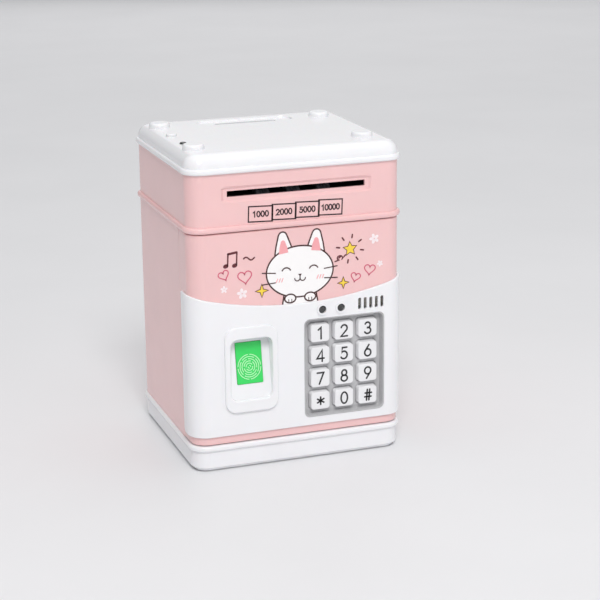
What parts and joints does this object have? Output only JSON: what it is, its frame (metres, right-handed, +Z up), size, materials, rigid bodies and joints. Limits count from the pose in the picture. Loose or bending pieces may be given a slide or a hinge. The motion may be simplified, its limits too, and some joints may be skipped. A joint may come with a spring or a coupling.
{
  "type": "toy safe coin bank",
  "caption": "Box-shaped toy safe money bank with a swinging keypad door, powered note slot, coin slot in the lid and a sloped finger window.",
  "frame": {"origin": "bottom centre of the object, on the plane that the rubber feet stand on", "axes": "+Z up, -Y towards the door and keypad, +X to the right of someone facing the door"},
  "size_m": [0.13, 0.119, 0.1873],
  "materials": {
    "white_plastic": "gloss moulded",
    "pink_plastic": "gloss moulded",
    "grey_plastic": "satin silver-grey",
    "key_plastic": "gloss moulded",
    "black_plastic": "matt moulded",
    "gear_plastic": "natural acetal",
    "rubber": "matt",
    "mat_rubber": "matt",
    "steel": "zinc plated",
    "motor_metal": "drawn can",
    "spring_metal": "nickel plated",
    "cell_wrap": "plain printed wrap",
    "board": "solder mask",
    "green_window": "lit green window",
    "dark_window": "smoked window"
  },
  "bodies": {
    "case": {"base_tray": "white_plastic", "rubber_feet": "rubber", "base_screws": "steel", "battery_box": "black_plastic", "batteries": "cell_wrap", "battery_contacts": "spring_metal", "body_shell": "pink_plastic", "deck_plate": "pink_plastic", "deck_screws": "steel", "hinge_pins": "steel", "upper_shell": "pink_plastic", "lid": "white_plastic", "button_switch": "board", "lid_lamp": "dark_window", "coin_chute": "black_plastic", "note_guide": "black_plastic", "feed_frame": "steel", "feed_motor": "motor_metal", "feed_board": "board"},
    "door": {"door_panel": "pink_plastic", "door_fascia": "white_plastic", "finger_bezel": "white_plastic", "finger_board": "board", "keypad_bezel": "grey_plastic", "key_mat": "mat_rubber", "keypad_board": "board", "control_board": "board", "status_windows": "dark_window", "speaker": "black_plastic", "door_back": "white_plastic", "door_screws": "steel", "lock_motor": "motor_metal", "lock_bracket": "black_plastic"},
    "key_1": {"key_1": "key_plastic"},
    "key_2": {"key_2": "key_plastic"},
    "key_3": {"key_3": "key_plastic"},
    "key_4": {"key_4": "key_plastic"},
    "key_5": {"key_5": "key_plastic"},
    "key_6": {"key_6": "key_plastic"},
    "key_7": {"key_7": "key_plastic"},
    "key_8": {"key_8": "key_plastic"},
    "key_9": {"key_9": "key_plastic"},
    "key_0": {"key_0": "key_plastic"},
    "key_star": {"key_star": "key_plastic"},
    "key_hash": {"key_hash": "key_plastic"},
    "finger_window": {"finger_lens": "green_window"},
    "top_button": {"lid_button": "white_plastic"},
    "drive_roller": {"drive_shaft": "steel", "drive_wheels": "rubber", "roller_gear": "gear_plastic"},
    "idler_roller": {"idler_shaft": "steel", "idler_wheels": "rubber"},
    "feed_pinion": {"motor_pinion": "gear_plastic"},
    "bolt": {"lock_bolt": "gear_plastic"},
    "lock_gear": {"lock_pinion": "gear_plastic"},
    "battery_door": {"battery_cover": "white_plastic", "cover_screw": "steel"}
  },
  "joints": [
    {"name": "door_hinge", "type": "hinge", "parent": "case", "child": "door", "pos_m": [0.061, -0.0384, 0.078], "axis": [0, 0, 1], "range_deg": [0, 90]},
    {"name": "key_1_press", "type": "slide", "parent": "door", "child": "key_1", "axis": [0, 1, 0], "range_m": [0, 0.0011], "stiffness_N_per_m": 350, "springref_m": -0.0004},
    {"name": "key_2_press", "type": "slide", "parent": "door", "child": "key_2", "axis": [0, 1, 0], "range_m": [0, 0.0011], "stiffness_N_per_m": 350, "springref_m": -0.0004},
    {"name": "key_3_press", "type": "slide", "parent": "door", "child": "key_3", "axis": [0, 1, 0], "range_m": [0, 0.0011], "stiffness_N_per_m": 350, "springref_m": -0.0004},
    {"name": "key_4_press", "type": "slide", "parent": "door", "child": "key_4", "axis": [0, 1, 0], "range_m": [0, 0.0011], "stiffness_N_per_m": 350, "springref_m": -0.0004},
    {"name": "key_5_press", "type": "slide", "parent": "door", "child": "key_5", "axis": [0, 1, 0], "range_m": [0, 0.0011], "stiffness_N_per_m": 350, "springref_m": -0.0004},
    {"name": "key_6_press", "type": "slide", "parent": "door", "child": "key_6", "axis": [0, 1, 0], "range_m": [0, 0.0011], "stiffness_N_per_m": 350, "springref_m": -0.0004},
    {"name": "key_7_press", "type": "slide", "parent": "door", "child": "key_7", "axis": [0, 1, 0], "range_m": [0, 0.0011], "stiffness_N_per_m": 350, "springref_m": -0.0004},
    {"name": "key_8_press", "type": "slide", "parent": "door", "child": "key_8", "axis": [0, 1, 0], "range_m": [0, 0.0011], "stiffness_N_per_m": 350, "springref_m": -0.0004},
    {"name": "key_9_press", "type": "slide", "parent": "door", "child": "key_9", "axis": [0, 1, 0], "range_m": [0, 0.0011], "stiffness_N_per_m": 350, "springref_m": -0.0004},
    {"name": "key_0_press", "type": "slide", "parent": "door", "child": "key_0", "axis": [0, 1, 0], "range_m": [0, 0.0011], "stiffness_N_per_m": 350, "springref_m": -0.0004},
    {"name": "key_star_press", "type": "slide", "parent": "door", "child": "key_star", "axis": [0, 1, 0], "range_m": [0, 0.0011], "stiffness_N_per_m": 350, "springref_m": -0.0004},
    {"name": "key_hash_press", "type": "slide", "parent": "door", "child": "key_hash", "axis": [0, 1, 0], "range_m": [0, 0.0011], "stiffness_N_per_m": 350, "springref_m": -0.0004},
    {"name": "finger_press", "type": "slide", "parent": "door", "child": "finger_window", "axis": [0, 0.9866, -0.1631], "range_m": [0, 0.0008], "stiffness_N_per_m": 500, "springref_m": -0.0004},
    {"name": "top_button_press", "type": "slide", "parent": "case", "child": "top_button", "axis": [0, 0, -1], "range_m": [0, 0.0009], "stiffness_N_per_m": 400, "springref_m": -0.0004},
    {"name": "drive_roller_turn", "type": "hinge", "parent": "case", "child": "drive_roller", "pos_m": [0, -0.046, 0.15565], "axis": [1, 0, 0], "continuous": true},
    {"name": "idler_roller_turn", "type": "hinge", "parent": "case", "child": "idler_roller", "pos_m": [0, -0.046, 0.16795], "axis": [1, 0, 0], "continuous": true},
    {"name": "feed_pinion_turn", "type": "hinge", "parent": "case", "child": "feed_pinion", "pos_m": [0.05, -0.036, 0.15157], "axis": [1, 0, 0], "continuous": true},
    {"name": "lock_bolt_slide", "type": "slide", "parent": "door", "child": "bolt", "axis": [0, 0, 1], "range_m": [0, 0.0045]},
    {"name": "lock_gear_turn", "type": "hinge", "parent": "door", "child": "lock_gear", "pos_m": [-0.052, -0.0442, 0.116], "axis": [-1, 0, 0], "range_deg": [0, 90]},
    {"name": "battery_door_off", "type": "slide", "parent": "case", "child": "battery_door", "axis": [0, 0, -1], "range_m": [0, 0.012]}
  ],
  "couplings": [
    {"joint": "feed_pinion_turn", "follows": "drive_roller_turn", "ratio": -2},
    {"joint": "lock_gear_turn", "follows": "lock_bolt_slide", "rad_per_m": 333.33}
  ]
}
